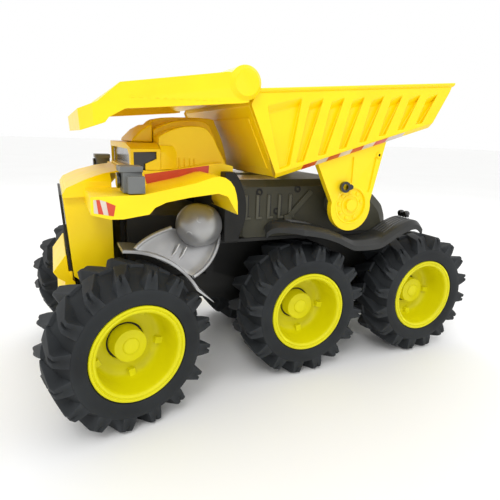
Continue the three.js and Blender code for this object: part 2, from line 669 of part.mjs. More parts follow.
function bedSolid() {
  const sideOutline = [BED.frontLow, BED.frontHigh, [46, 253.5], BED.railFront, BED.railRear, BED.rearLow];
  const floor = 3.5;
  const inner = BED_HALF - BED_WALL;
  const space = [
    [21.5, floorZ(21.5) + floor], [BED.frontHigh[0] - 5.5, BED.frontHigh[1]], [46, 300], [-190, 300],
    [-190, floorZ(-190) + floor], [-134.8, floorZ(-134.8) + floor],
  ];
  const panels = Array.from({ length: PANELS }, (_, i) => panelOutline(i));
  panels.push(FRONT_PANEL);
  const panelCuts = panels.flatMap((outline) => [
    across(outline, BED_HALF - RECESS, BED_HALF + 5),
    across(outline, -BED_HALF - 5, -BED_HALF + RECESS),
  ]);
  const chamfer = 4.5; // the sides' lower edges slope in to the underside
  const edgeEnds = [35, -150];
  const lowerEdge = [-1, 1].map((sign) => {
    const edge = (x, side) => [x, sign * (BED_HALF + side), floorZ(x) + chamfer + side];
    return slab([
      ...edgeEnds.map((x) => edge(x, -chamfer - 1)),
      ...edgeEnds.map((x) => edge(x, 3)).reverse(),
    ], [0, sign * 7, -9]);
  });
  const rail = [
    [46, railZ(46) - 3.5], [46, railZ(46) + 0.5], [-154, railZ(-154) + 0.5], [-152, railZ(-152) - 3.5],
  ];
  const whole = join(
    across(sideOutline, -BED_HALF, BED_HALF),
    across(rail, -BED_HALF - 2, BED_HALF + 2),
    forwards([[-88, 238], [88, 238], [88, 254], [-88, 254]], 44, 49.5),
  );
  return cut(whole, across(space, -inner, inner), ...panelCuts, ...lowerEdge);
}
place('bed_tub', bedSolid(), BODY_YELLOW);

const CANOPY_TOP = [[71, 262], [146.7, 249.5], [161.7, 236.5], [173.4, 232]];
const CANOPY_UNDER = [[172.5, 217.9], [157.1, 223.5], [154.7, 226.8], [143.7, 232.9], [60, 241], [54, 242]];
function canopySolid() {
  const roof = 3;
  const skirt = 3.5;
  const rollX = 57;
  const rollZ = 255.5;
  const under = [
    [48, 262 - roof], [71, 262 - roof], [146, 249.5 - roof], [157, 236], [157, 215], [48, 215],
  ];
  const corners = [-1, 1].map((sign) => upwards([
    [164, sign * (CANOPY_HALF + 1)], [175, sign * (CANOPY_HALF - 15)], [175, sign * (CANOPY_HALF + 1)],
  ], 200, 280));
  const roll = (radius, y0, y1) => cylinderY(radius, rollX, rollZ, y0, y1, 28);
  const ends = [-1, 1].map((sign) => {
    const end = new THREE.CylinderGeometry(CORNER_ROLL_R - 3, CORNER_ROLL_R, 3, 28);
    if (sign < 0) end.rotateX(Math.PI);
    end.translate(rollX, sign * (CANOPY_HALF + 1.5), rollZ);
    return solid(end);
  });
  const whole = cut(
    across([[54, 262], ...CANOPY_TOP, ...CANOPY_UNDER], -CANOPY_HALF, CANOPY_HALF),
    across(under, -CANOPY_HALF + skirt, CANOPY_HALF - skirt),
    ...corners,
  );
  const bedSide = across([[30, 225], [51.4, 225], [51.4, 254], [46.5, 254], [46.5, 290], [30, 290]],
    -BED_HALF - 2 - GAP, BED_HALF + 2 + GAP);
  return join(
    cut(join(whole, roll(CORNER_ROLL_R, -CANOPY_HALF, CANOPY_HALF)), bedSide),
    ...ends,
  );
}
place('bed_canopy', canopySolid(), BODY_YELLOW);

// Yellow plates that hang from the bed and turn on the pivot pins.
function bracketSolid() {
  const inner = 82.5;
  const outer = 88.5;
  const outline = [
    [-17, floorZ(-17) - GAP], ...arc(PIVOT.x, PIVOT.z - 2, 21.5, 14, -194, 20),
    [-88, floorZ(-88) - GAP],
  ];
  const recess = cylinderY(15.5, PIVOT.x, PIVOT.z, outer - 1.5, outer + 2, 28);
  const grooves = [
    box([-54, outer - 1.2, 180], [-51.5, outer + 1, 203]),
    slab([
      [-79, outer + 1, 203], [-76.5, outer + 1, 203], [-71.5, outer + 1, 172], [-74, outer + 1, 172],
    ], [0, -2.2, 0]),
  ];
  return cut(
    across(outline, inner, outer),
    recess,
    ...grooves,
    cylinderY(PIVOT_PIN_R + 0.4, PIVOT.x, PIVOT.z, inner - 1, outer + 1, 16),
  );
}
placePair('bed_bracket', bracketSolid(), BODY_YELLOW);

// Small black eye peg on the left bracket.
place('eye_peg_left', cut(
  join(
    cylinderY(2.2, -50, 177, 88.5 + GAP, 94, 12),
    box([-50, 91, 174.5], [-44, 94, 179.5]),
    cylinderY(5, -44, 177, 91, 94, 18),
  ),
  cylinderY(2.8, -44, 177, 90, 95, 14),
), BLACK);

// The bounding box is centred on the origin.
truck.position.x = CENTRING;

export default truck;
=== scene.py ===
"""Looks of the toy dump truck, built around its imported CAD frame.

Metres, +X forward (cab end), +Y left, +Z up, with the tyres on z = 0. Lengths written here are in
millimetres and go through mm() or at(). The right side repeats the left one, mirrored in y = 0.
"""

import json
import math

import bmesh
import bpy
from mathutils import Matrix, Vector

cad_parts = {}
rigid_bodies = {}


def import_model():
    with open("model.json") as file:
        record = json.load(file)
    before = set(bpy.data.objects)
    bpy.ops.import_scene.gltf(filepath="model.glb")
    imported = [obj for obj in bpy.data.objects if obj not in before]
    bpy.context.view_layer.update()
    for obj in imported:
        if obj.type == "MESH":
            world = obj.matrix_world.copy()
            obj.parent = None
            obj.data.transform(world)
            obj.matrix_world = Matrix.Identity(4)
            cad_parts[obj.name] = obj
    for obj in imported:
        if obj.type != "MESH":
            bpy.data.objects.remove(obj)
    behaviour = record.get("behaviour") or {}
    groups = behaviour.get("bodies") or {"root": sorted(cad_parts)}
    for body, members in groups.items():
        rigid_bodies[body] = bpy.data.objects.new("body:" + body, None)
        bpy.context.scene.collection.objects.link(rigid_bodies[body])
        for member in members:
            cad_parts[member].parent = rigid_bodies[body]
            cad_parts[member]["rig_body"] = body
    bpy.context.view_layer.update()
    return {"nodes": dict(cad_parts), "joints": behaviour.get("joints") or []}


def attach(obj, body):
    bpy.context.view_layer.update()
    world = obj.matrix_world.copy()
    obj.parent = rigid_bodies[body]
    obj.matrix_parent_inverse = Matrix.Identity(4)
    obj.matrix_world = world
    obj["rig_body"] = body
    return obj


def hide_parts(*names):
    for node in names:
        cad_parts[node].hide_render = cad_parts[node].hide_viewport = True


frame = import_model()

JOINTS = {joint["name"]: joint for joint in frame["joints"]}
MID_AXLE = Vector(JOINTS["mid_axle_spin"]["pos_m"])
REAR_AXLE = Vector(JOINTS["rear_axle_spin"]["pos_m"])
# The truck's own zero is where it was drawn: 16 mm ahead of the middle axle.
DRAWN_ZERO_X = MID_AXLE.x + 0.016
SIDES = {"left": 1, "right": -1}


def mm(value):
    return value * 0.001


def at(x, y, z):
    """A drawn point in millimetres, as a place in the frame."""
    return Vector((DRAWN_ZERO_X + mm(x), mm(y), mm(z)))


def srgb(red, green, blue):
    """A colour from 0 to 255 a channel, as Blender's linear values."""
    linear = [((c / 255 + 0.055) / 1.055) ** 2.4 if c > 10 else c / 255 / 12.92 for c in (red, green, blue)]
    return (*linear, 1.0)


# ---------------------------------------------------------------- materials
def material(name, color, shade, roughness, metallic=0.0, coat=0.0, grain=1400, relief=0.08,
             mottle=26, edge=None, specular=0.5):
    """Moulded material: two tones mottled together, fine grain in relief, uneven gloss, lighter edges that
    are painted highlight and edge wear.
    """
    made = bpy.data.materials.new(name)
    made.use_nodes = True
    nodes = made.node_tree.nodes
    link = made.node_tree.links.new
    shader = nodes["Principled BSDF"]
    shader.inputs["Metallic"].default_value = metallic
    shader.inputs["Coat Weight"].default_value = coat
    shader.inputs["Coat Roughness"].default_value = 0.12
    shader.inputs["Specular IOR Level"].default_value = specular
    place = nodes.new("ShaderNodeTexCoord").outputs["Object"]

    def noise(scale, detail):
        texture = nodes.new("ShaderNodeTexNoise")
        texture.inputs["Scale"].default_value = scale
        texture.inputs["Detail"].default_value = detail
        link(place, texture.inputs["Vector"])
        return texture.outputs["Fac"]

    tones = nodes.new("ShaderNodeValToRGB")
    tones.color_ramp.elements[0].position = 0.32
    tones.color_ramp.elements[0].color = shade
    tones.color_ramp.elements[1].position = 0.62
    tones.color_ramp.elements[1].color = color
    link(noise(mottle, 4), tones.inputs["Fac"])
    surface = tones.outputs["Color"]
    # Painted highlight and edge wear: the sharper the edge, the more it takes the lighter edge colour.
    if edge:
        pointed = nodes.new("ShaderNodeNewGeometry").outputs["Pointiness"]
        rim = nodes.new("ShaderNodeValToRGB")
        rim.color_ramp.elements[0].position = 0.52
        rim.color_ramp.elements[1].position = 0.6
        link(pointed, rim.inputs["Fac"])
        blend = nodes.new("ShaderNodeMix")
        blend.data_type = "RGBA"
        link(rim.outputs["Color"], blend.inputs["Factor"])
        link(surface, blend.inputs["A"])
        blend.inputs["B"].default_value = edge
        surface = blend.outputs["Result"]
    link(surface, shader.inputs["Base Color"])

    gloss = nodes.new("ShaderNodeMapRange")
    gloss.inputs["To Min"].default_value = max(roughness - 0.08, 0.02)
    gloss.inputs["To Max"].default_value = roughness + 0.1
    link(noise(mottle * 3.1, 5), gloss.inputs["Value"])
    link(gloss.outputs["Result"], shader.inputs["Roughness"])

    bump = nodes.new("ShaderNodeBump")
    bump.inputs["Strength"].default_value = relief
    bump.inputs["Distance"].default_value = 0.0003
    link(noise(grain, 2), bump.inputs["Height"])
    link(bump.outputs["Normal"], shader.inputs["Normal"])
    return made


# The edge colours below are painted highlight and edge wear, which material() mixes onto sharp edges.
YELLOW = material("body_yellow", srgb(254, 222, 0), srgb(250, 212, 0), 0.36, coat=0.08,
                  edge=srgb(255, 220, 20), specular=0.35)
LEMON = material("rim_yellow", srgb(218, 211, 0), srgb(210, 202, 0), 0.42, edge=srgb(232, 228, 20),
                 specular=0.3)
RUBBER = material("tyre_rubber", srgb(38, 41, 43), srgb(30, 32, 34), 0.62, grain=900, relief=0.2,
                  edge=srgb(58, 61, 64), specular=0.22)
BLACK = material("black_plastic", srgb(42, 43, 42), srgb(33, 34, 33), 0.34, relief=0.15,
                 edge=srgb(66, 67, 68), specular=0.4)
DARK = material("chassis_black", srgb(24, 24, 22), srgb(17, 17, 16), 0.5, relief=0.15, edge=srgb(40, 40, 39),
                specular=0.25)
GREY = material("chassis_grey", srgb(62, 61, 49), srgb(52, 51, 41), 0.46, relief=0.2, edge=srgb(82, 81, 70),
                specular=0.25)
LAMP = material("lamp_grey", srgb(82, 84, 82), srgb(70, 72, 71), 0.45, relief=0.2, edge=srgb(112, 114, 113),
                specular=0.25)
LENS = material("lens_black", srgb(12, 12, 13), srgb(8, 8, 8), 0.1, coat=0.6, relief=0.02)
SMOKE = material("window_smoke", srgb(66, 67, 70), srgb(36, 37, 39), 0.14, coat=0.3, relief=0.02, mottle=14)
SILVER = material("silver_paint", srgb(160, 160, 160), srgb(140, 140, 141), 0.34, metallic=0.55, coat=0.25,
                  grain=2600, relief=0.06, edge=srgb(188, 189, 190))
STEEL = material("steel", srgb(190, 190, 192), srgb(160, 160, 163), 0.3, metallic=1.0)
RED_TAPE = material("red_tape", srgb(206, 62, 22), srgb(186, 52, 18), 0.3, coat=0.3, mottle=60, relief=0.03)
WHITE_TAPE = material("white_tape", srgb(214, 200, 186), srgb(192, 176, 160), 0.3, coat=0.3, mottle=60,
                      relief=0.03)
FLOOR = material("floor", srgb(250, 250, 249), srgb(248, 248, 247), 0.6, relief=0.02, mottle=3)


# ---------------------------------------------------------------- making pieces
def add(name, mesh, paint, body, slot, bevel=0.0, segments=3, angle=30, replaces=()):
    """A finished piece: smooth shaded, edges rounded by bevel mm, riding on a body of the frame."""
    piece = bpy.data.objects.new(name, mesh)
    bpy.context.scene.collection.objects.link(piece)
    mesh.materials.append(paint)
    mesh.shade_smooth()
    mesh.set_sharp_from_angle(angle=math.radians(angle))
    if bevel:
        rounded = piece.modifiers.new("rounded", "BEVEL")
        rounded.width = mm(bevel)
        rounded.segments = segments
        rounded.limit_method = "ANGLE"
        rounded.angle_limit = math.radians(angle)
        rounded.miter_outer = "MITER_ARC"
        rounded.harden_normals = True
    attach(piece, body)
    if replaces:
        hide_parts(*replaces)
    return piece


def mesh_from(build, name):
    """Runs build(bm) on an empty bmesh and returns it as a mesh with its faces pointing out."""
    bm = bmesh.new()
    build(bm)
    bmesh.ops.recalc_face_normals(bm, faces=bm.faces)
    mesh = bpy.data.meshes.new(name)
    bm.to_mesh(mesh)
    bm.free()
    return mesh


def mirrored(mesh):
    other = mesh.copy()
    other.transform(Matrix.Scale(-1, 4, (0, 1, 0)))
    other.flip_normals()
    return other


def cad_mesh(node, flat=2.0):
    """A copy of a CAD node's mesh with its triangles joined into flat faces."""
    bm = bmesh.new()
    bm.from_mesh(frame["nodes"][node].data)
    bmesh.ops.remove_doubles(bm, verts=bm.verts, dist=2e-6)
    bmesh.ops.dissolve_limit(bm, angle_limit=math.radians(flat), verts=bm.verts, edges=bm.edges)
    bm.verts.index_update()
    points = [v.co.copy() for v in bm.verts]
    faces = [[v.index for v in f.verts] for f in bm.faces]
    bm.free()
    mesh = bpy.data.meshes.new(node + "_detail")
    mesh.from_pydata(points, [], faces)
    mesh.update()
    return mesh


def rounded_node(node, paint, slot, bevel=0.8, segments=3, angle=30):
    """The CAD node with rounded edges, shown in its place."""
    body = frame["nodes"][node]["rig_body"]
    return add(node + "_detail", cad_mesh(node), paint, body, slot, bevel, segments, angle, (node,))


def lathe(bm, profile, steps, closed=True, turn=None):
    """Turns a [radius, y] profile in mm about the y axis."""
    rings = []
    for radius, y in profile:
        if radius == 0:
            rings.append([bm.verts.new((0, mm(y), 0))] * steps)
            continue
        rings.append([
            bm.verts.new((mm(radius) * math.cos(a), mm(y), mm(radius) * math.sin(a)))
            for a in (2 * math.pi * i / steps for i in range(steps))
        ])
    pairs = list(zip(rings, rings[1:]))
    if closed:
        pairs.append((rings[-1], rings[0]))
    for low, high in pairs:
        for i in range(steps):
            j = (i + 1) % steps
            corners = list(dict.fromkeys((low[i], low[j], high[j], high[i])))
            if len(corners) > 2:
                bm.faces.new(corners)
    if turn is not None:
        for vert in {vert for ring in rings for vert in ring}:
            vert.co = turn @ vert.co


def loft(bm, stations):
    """Joins equal rings of points into a tube, and caps its ends."""
    rings = [[bm.verts.new(p) for p in ring] for ring in stations]
    count = len(rings[0])
    for low, high in zip(rings, rings[1:]):
        for i in range(count):
            j = (i + 1) % count
            bm.faces.new((low[i], low[j], high[j], high[i]))
    bm.faces.new(rings[0])
    bm.faces.new(list(reversed(rings[-1])))


def plate(bm, outline, push):
    """A flat outline of points, thickened by the vector push."""
    loft(bm, [[Vector(p) for p in outline], [Vector(p) + Vector(push) for p in outline]])


def block(bm, low, high):
    """A drawn box between two corners in mm."""
    (x0, y0, z0), (x1, y1, z1) = low, high
    outline = [at(x0, y0, z0), at(x1, y0, z0), at(x1, y1, z0), at(x0, y1, z0)]
    plate(bm, outline, (0, 0, mm(z1 - z0)))


def facing(center, axis):
    """Puts a shape drawn about the y axis at center, with +y turned along axis."""
    turn = Vector((0, 1, 0)).rotation_difference(Vector(axis).normalized())
    return Matrix.Translation(center) @ turn.to_matrix().to_4x4()


def fillet(points, radius, steps=4):
    """Rounds the corners of a closed outline of (u, v) points."""
    rounded = []
    for i, point in enumerate(points):
        corner = Vector(point)
        back = Vector(points[i - 1]) - corner
        ahead = Vector(points[(i + 1) % len(points)]) - corner
        start = corner + back.normalized() * min(radius, back.length * 0.48)
        end = corner + ahead.normalized() * min(radius, ahead.length * 0.48)
        for step in range(steps + 1):
            t = step / steps
            rounded.append(start * (1 - t) ** 2 + corner * 2 * t * (1 - t) + end * t ** 2)
    return rounded


def smooth(points, steps=4):
    """A curve through every point of an open line (Catmull-Rom)."""
    ends = [points[0], *points, points[-1]]
    curve = []
    for a, b, c, d in zip(ends, ends[1:], ends[2:], ends[3:]):
        a, b, c, d = (Vector(p) for p in (a, b, c, d))
        for step in range(steps):
            t = step / steps
            curve.append(0.5 * (2 * b + (c - a) * t + (2 * a - 5 * b + 4 * c - d) * t ** 2
                                + (3 * b - a - 3 * c + d) * t ** 3))
    curve.append(Vector(points[-1]))
    return curve


def between(a, b, c, t):
    """A point on the curve that starts at a, passes b half way and ends at c."""
    a, b, c = Vector(a), Vector(b), Vector(c)
    pull = 2 * b - (a + c) / 2
    return a * (1 - t) ** 2 + pull * 2 * t * (1 - t) + c * t ** 2


def across(bm, outline, y0, y1):
    """A drawn outline of (x, z) points, carried across the truck from y0 to y1."""
    plate(bm, [at(x, y0, z) for x, z in outline], (0, mm(y1 - y0), 0))


def disc(bm, radius, center, axis, depth, steps=24, dome=0.0):
    """A round boss of a drawn centre, standing depth mm out along axis, with a dome in mm on top."""
    profile = [(0, depth + dome), (radius * 0.5, depth + dome * 0.8), (radius, depth), (radius, -0.6),
               (0, -0.6)]
    lathe(bm, profile, steps, closed=False, turn=facing(at(*center), axis))


def tube(bm, points, radius, steps=10):
    """A round bar through a list of drawn points."""
    path = [at(*point) for point in points]
    rings = []
    for i, point in enumerate(path):
        ahead = path[min(i + 1, len(path) - 1)] - path[max(i - 1, 0)]
        frame_at = facing(point, ahead)
        rings.append([
            frame_at @ Vector((mm(radius) * math.cos(a), 0, mm(radius) * math.sin(a)))
            for a in (2 * math.pi * k / steps for k in range(steps))
        ])
    loft(bm, rings)


def both_sides(name, build, paint, body, slot, **options):
    """A piece drawn on the left side, and the same one mirrored on the right."""
    replaces = options.pop("replaces", None)
    left = mesh_from(build, name)
    for side, mesh in (("left", left), ("right", mirrored(left))):
        stands_for = (f"{replaces}_{side}",) if replaces else ()
        add(f"{name}_{side}", mesh, paint, body, slot, replaces=stands_for, **options)


# ---------------------------------------------------------------- wheels
TYRE_R = 62.0
LUGS = 16
SIDE_MIRROR_Y = -24.55  # the tyre is the same on both sides of this plane
TREAD_R = 59.6  # middle of the tread, between the lugs


def tyre_carcass():
    outer = [(37.4, -1.6), (38.0, 0.1), (40.5, 0.9), (44, 1.2), (48.6, 1.15), (49.4, 0.7), (50.3, -1.6),
             (51.8, -4.5), (53.4, -8), (56.2, -13), (58.6, -18), (TREAD_R, -22.5)]
    inner = [(r, 2 * SIDE_MIRROR_Y - y) for r, y in reversed(outer)]
    return outer + inner + [(34.6, -46.4), (34.6, -2.7)]


# Along a lug, from the side wall over the shoulder to the middle of the tread: the top and the foot as
# (radius, y), half widths of top and foot, and how deep the notch at its tip is.
LUG_STATIONS = [
    ((49.2, 0.95), (48.6, -3.0), 5.3, 5.6, 0.0),
    ((55.0, 0.6), (50.5, -5.0), 4.6, 6.2, 0.0),
    ((60.3, -0.2), (52.4, -7.0), 3.7, 6.4, 2.6),
    ((TYRE_R, -3.5), (53.0, -9.0), 3.4, 6.4, 1.8),
    ((TYRE_R, -5.5), (53.2, -10.0), 3.7, 6.4, 0.0),
    ((TYRE_R, -15.0), (54.2, -15.0), 4.6, 7.0, 0.0),
    ((TYRE_R, -26.0), (55.2, -27.5), 5.0, 7.0, 0.0),
]
LUG_SLANT = math.radians(10)
NOTCH_HALF = 1.1


def lug(bm, angle, inner_side):
    stations = []
    for (top_r, top_y), (foot_r, foot_y), top_half, foot_half, notch in LUG_STATIONS:
        lean = LUG_SLANT * min(max(-top_y / 27, 0), 1)
        ring = []
        for radius, y, across in (
            (foot_r, foot_y, -foot_half), (top_r, top_y, -top_half), (top_r, top_y, -NOTCH_HALF),
            (top_r - notch, top_y - notch * 0.3, 0), (top_r, top_y, NOTCH_HALF), (top_r, top_y, top_half),
            (foot_r, foot_y, foot_half),
        ):
            if inner_side:
                y = 2 * SIDE_MIRROR_Y - y
            turn = angle + lean + across / radius
            ring.append((mm(radius) * math.cos(turn), mm(y), mm(radius) * math.sin(turn)))
        stations.append(ring)
    loft(bm, stations)


def tyre(bm):
    lathe(bm, tyre_carcass(), 96)
    pitch = 2 * math.pi / LUGS
    for i in range(LUGS):
        lug(bm, -math.pi / 2 + i * pitch, False)
        lug(bm, -math.pi / 2 + (i + 0.5) * pitch, True)


RIM_PROFILE = [
    (37, -2.3), (37, -0.5), (36.6, 0), (35.3, 0.1), (34.9, -0.2), (34.7, -0.9), (34.3, -1.0), (33.9, -0.4),
    (33.4, -0.1), (32.4, -0.4), (31.6, -1.3), (31.1, -2.6), (30.9, -5), (30.2, -18), (29.4, -23),
    (27.8, -26.3), (25.4, -27.8), (22, -28), (15.6, -28), (15.0, -28.4), (15.0, -30.1), (26, -30.2),
    (30.6, -34), (31.8, -49.6), (32.2, -50), (37, -50), (37, -47.7), (34, -47.7), (34, -2.3),
]
RIM_TABS = 5


def rim(bm):
    lathe(bm, RIM_PROFILE, 96)
    for i in range(RIM_TABS):
        angle = math.pi + i * 2 * math.pi / RIM_TABS
        spoke = Matrix.Rotation(-angle, 4, "Y")
        outline = [(23.2, -28.3), (29.2, -28.3), (30.3, -23.6), (23.6, -23.8)]
        plate(bm, [spoke @ Vector((mm(r), mm(y), mm(-2.6))) for r, y in outline],
              spoke.to_3x3() @ Vector((0, 0, mm(5.2))))


def hub_cap(bm):
    lathe(bm, [(0, -15.7), (5.6, -15.7), (6.2, -16), (6.6, -16.7), (7.2, -16.9), (11.8, -16.9), (12.6, -17.2),
               (13.0, -18), (13.5, -29.4), (0, -29.4)], 64, closed=False)


# Black disc at the bottom of the groove behind the hub cap: painted shadow in the gap between the cap and the
# rim.
def hub_shadow_disc(bm):
    lathe(bm, [(13.2, -29.6), (15.3, -29.6), (15.3, -30.1), (13.2, -30.1)], 48)


WHEEL_PIECES = [
    ("tyre", mesh_from(tyre, "tyre"), RUBBER, "tyre_rubber", dict(bevel=0.45, segments=2, angle=32)),
    ("rim", mesh_from(rim, "rim"), LEMON, "rim_plastic", dict(bevel=0.3, segments=2, angle=40)),
    ("hub_cap", mesh_from(hub_cap, "hub_cap"), LEMON, "rim_plastic", dict(angle=40)),
]
# The painted shadow disc that goes behind every hub cap.
HUB_SHADOW_MESH = mesh_from(hub_shadow_disc, "hub_shadow_disc")
REAR_TRACK = 92.0
KINGPIN_INSET = 37.0
FRONT_PHASE = math.radians(-11)  # how far each wheel happens to have rolled
REAR_PHASE = math.radians(-9)


def wheel(position, side, body, center, axis, turned):
    sign = SIDES[side]
    steer = math.atan2(-axis.x, axis.y)
    place = (Matrix.Translation(center) @ Matrix.Rotation(steer, 4, "Z")
             @ Matrix.Rotation(turned, 4, "Y"))
    for kind, mesh, paint, slot, options in WHEEL_PIECES + [("hub_shadow_disc", HUB_SHADOW_MESH, DARK, "tyre_rubber", {})]:
        shape = mesh.copy() if sign > 0 else mirrored(mesh)
        shape.transform(place)
        node = f"{position}_{side}_{kind}"
        stands_for = () if kind == "hub_shadow_disc" else (node,)
        add(f"{node}_detail", shape, paint, body, slot, replaces=stands_for, **options)


for side, sign in SIDES.items():
    for position, axle in (("mid", MID_AXLE), ("rear", REAR_AXLE)):
        center = axle + Vector((0, sign * mm(REAR_TRACK), 0))
        wheel(position, side, position + "_wheels", center, Vector((0, 1, 0)), REAR_PHASE)
    spin = JOINTS[f"front_{side}_spin"]
    axis = Vector(spin["axis"])
    center = Vector(spin["pos_m"]) + sign * mm(KINGPIN_INSET) * axis
    wheel("front", side, f"front_{side}_wheel", center, axis, FRONT_PHASE)

# ---------------------------------------------------------------- CAD nodes that are right as they are
for node, paint in (
    ("mid_axle", STEEL), ("rear_axle", STEEL), ("kingpin_left", STEEL), ("kingpin_right", STEEL),
    ("pivot_pin_left", YELLOW), ("pivot_pin_right", YELLOW),
):
    frame["nodes"][node].data.materials.clear()
    frame["nodes"][node].data.materials.append(paint)

for node, paint, slot, bevel in (
    ("chassis_frame", DARK, "black_plastic", 1.0),
    ("wheel_arch_liner_left", DARK, "black_plastic", 1.0),
    ("wheel_arch_liner_right", DARK, "black_plastic", 1.0),
    ("front_axle_beam", DARK, "black_plastic", 0.7),
    ("knuckle_left", DARK, "black_plastic", 0.5),
    ("knuckle_right", DARK, "black_plastic", 0.5),
    ("tie_rod", DARK, "black_plastic", 0.5),
    ("front_body", YELLOW, "body_yellow", 1.8),
    ("cab_shell", YELLOW, "body_yellow", 1.2),
    ("cab_glazing", SMOKE, "smoked_window", 0.8),
    ("roof_crest", YELLOW, "body_yellow", 2.5),
    ("grille", DARK, "black_plastic", 0.5),
    ("front_bumper", YELLOW, "body_yellow", 1.0),
    ("headlamp_left", LAMP, "lamp_grey", 1.0),
    ("headlamp_right", LAMP, "lamp_grey", 1.0),
    ("headlamp_lens_left", LENS, "lens_black", 0.8),
    ("headlamp_lens_right", LENS, "lens_black", 0.8),
    ("bed_canopy", YELLOW, "body_yellow", 1.4),
    ("bed_bracket_left", YELLOW, "body_yellow", 1.0),
    ("bed_bracket_right", YELLOW, "body_yellow", 1.0),
    ("eye_peg_left", LENS, "black_plastic", 0.7),
):
    rounded_node(node, paint, slot, bevel)

# ---------------------------------------------------------------- bed
BED_HALF = 95.0
BED_INNER = 88.0
RECESS_Y = 90.5
CHAMFER = 4.5
RAIL_DROP = 3.0  # the rail's depth below its top edge
PANELS = 7
PANEL_PITCH = 20.4
BED_FRONT_LOW, BED_FRONT_TOP = 25.0, 46.0  # x where the side's front edge meets its lower and top edges
BED_FRONT_HIGH = (51.0, 241.0)  # foremost corner of the side, as (x, z)
BED_REAR_LOW, BED_REAR_TOP = -134.8, -153.0
WALL_LOW, WALL_HIGH = (23.6, 185.6), (49.3, 241)  # outside of the front wall, as (x, z)


def floor_z(x):
    """Underside of the bed, rising to the rear."""
    return 185 + (25 - x) * 46 / 159.8


def rail_z(x):
    """Top edge of the bed's sides."""
    return 253.5 + (40 - x) * 18 / 194


def panel(i):
    """Top front, top rear, bottom rear and bottom front corners of the recess after rib i."""
    top = -2 - PANEL_PITCH * i
    bottom = 8 - PANEL_PITCH * i
    return [(top, rail_z(top) - 12), (top - 12, rail_z(top - 12) - 8.5),
            (bottom - 7, floor_z(bottom - 7) + 7), (bottom, floor_z(bottom) + 8)]


FRONT_PANEL = [(36, 241), (6, 249), (14, floor_z(14) + 7), (23, floor_z(23) + 7)]
BED_PANELS = [FRONT_PANEL] + [panel(i) for i in range(PANELS)]


def bed_side(bm):
    """Left wall: ribs and bands at the outer face, sunk panels between them, flat inside."""
    made = {}

    def point(x, y, z):
        key = (round(x, 2), round(y, 2), round(z, 2))
        if key not in made:
            made[key] = bm.verts.new(at(x, y, z))
        return made[key]

    def face(*corners):
        bm.faces.new([point(*corner) for corner in corners])

    def outer(x, z):
        return (x, BED_HALF, z)

    def over(x):
        return outer(x, rail_z(x) - RAIL_DROP)

    def under(x):
        return outer(x, floor_z(x) + CHAMFER)

    def below(x):
        return (x, RECESS_Y, floor_z(x))

    # Each column runs down the side: top edge, panel top, panel bottom, foot of the chamfer.
    columns = [(over(BED_FRONT_TOP), outer(*BED_FRONT_HIGH), under(BED_FRONT_LOW + 1.5),
                below(BED_FRONT_LOW))]
    for front_upper, rear_upper, rear_lower, front_lower in BED_PANELS:
        for upper, lower in ((front_upper, front_lower), (rear_upper, rear_lower)):
            columns.append((over(upper[0]), outer(*upper), outer(*lower), below(lower[0])))
    columns.append((over(BED_REAR_TOP), outer(-151, rail_z(-151) - 8), under(BED_REAR_LOW),
                    below(BED_REAR_LOW)))
    for i, (a, b) in enumerate(zip(columns, columns[1:])):
        face(a[0], b[0], b[1], a[1])
        low_a = a[2] if i == 0 else under(a[2][0])
        low_b = b[2] if i == len(columns) - 2 else under(b[2][0])
        if i % 2 == 0:
            face(a[1], b[1], b[2], a[2])
        else:
            sunk = []
            middle_x = sum(corner[0] for corner in (a[1], b[1], b[2], a[2])) / 4
            for corner, drop in ((a[1], 6.0), (b[1], 6.0), (b[2], -0.6), (a[2], -0.6)):
                shift = math.copysign(0.7, middle_x - corner[0])
                sunk.append((corner[0] + shift - drop * 0.25, RECESS_Y, corner[2] - drop))
            rim = [a[1], b[1], b[2], a[2]]
            face(*sunk)
            for k in range(4):
                face(rim[k], rim[(k + 1) % 4], sunk[(k + 1) % 4], sunk[k])
        if low_a != a[2] or low_b != b[2]:
            face(*dict.fromkeys((a[2], b[2], low_b, low_a)))
        face(low_a, low_b, b[3], a[3])
    tops = [column[0] for column in columns]
    feet = [column[3] for column in columns]
    inside = [(x, BED_INNER, z) for x, y, z in tops]
    base = [(x, BED_INNER, z) for x, y, z in feet]
    for i in range(len(columns) - 1):
        face(tops[i], tops[i + 1], inside[i + 1], inside[i])
        face(feet[i], feet[i + 1], base[i + 1], base[i])
        face(inside[i], inside[i + 1], base[i + 1], base[i])
    first, last = columns[0], columns[-1]
    face(inside[0], first[0], first[1], first[2], first[3], base[0])
    face(inside[-1], last[0], last[1], last[2], last[3], base[-1])


def bed_rail(bm):
    """Lip along the top of a side, with a sharp end at the rear."""
    ends = [47.0, -154.0]
    foot = -RAIL_DROP - 0.4
    section = fillet([(92.4, foot), (92.4, 0), (97, 0), (97, -1.6), (95.2, foot)], 0.9, 3)
    loft(bm, [[at(x, y, rail_z(x) + z) for y, z in section] for x in ends])


def bed_floor(bm):
    thick = 3.5
    front, rear = 23.5, BED_REAR_LOW
    outline = [(front, floor_z(front)), (front, floor_z(front) + thick), (rear, floor_z(rear) + thick),
               (rear, floor_z(rear))]
    across(bm, outline, -BED_INNER - 0.5, BED_INNER + 0.5)


def bed_front(bm):
    """Front wall, leaning forwards, with a raised field on its outside."""
    across(bm, [WALL_LOW, WALL_HIGH, (46, 252), (43, 252), (45.2, 241), (18, 188.6)], -88.5, 88.5)
    lean = WALL_HIGH[0] - WALL_LOW[0]
    rise = WALL_HIGH[1] - WALL_LOW[1]
    ahead = Vector((rise, -lean)).normalized() * 0.9
    low, high = ((WALL_LOW[0] + lean * share, WALL_LOW[1] + rise * share) for share in (0.12, 0.84))
    field = [low, high, (high[0] + ahead.x, high[1] + ahead.y), (low[0] + ahead.x, low[1] + ahead.y)]
    across(bm, field, -80, 80)


def bed_lip(bm):
    across(bm, [(44, 240), (49.4, 240), (48.6, 254), (44, 254)], -88, 88)


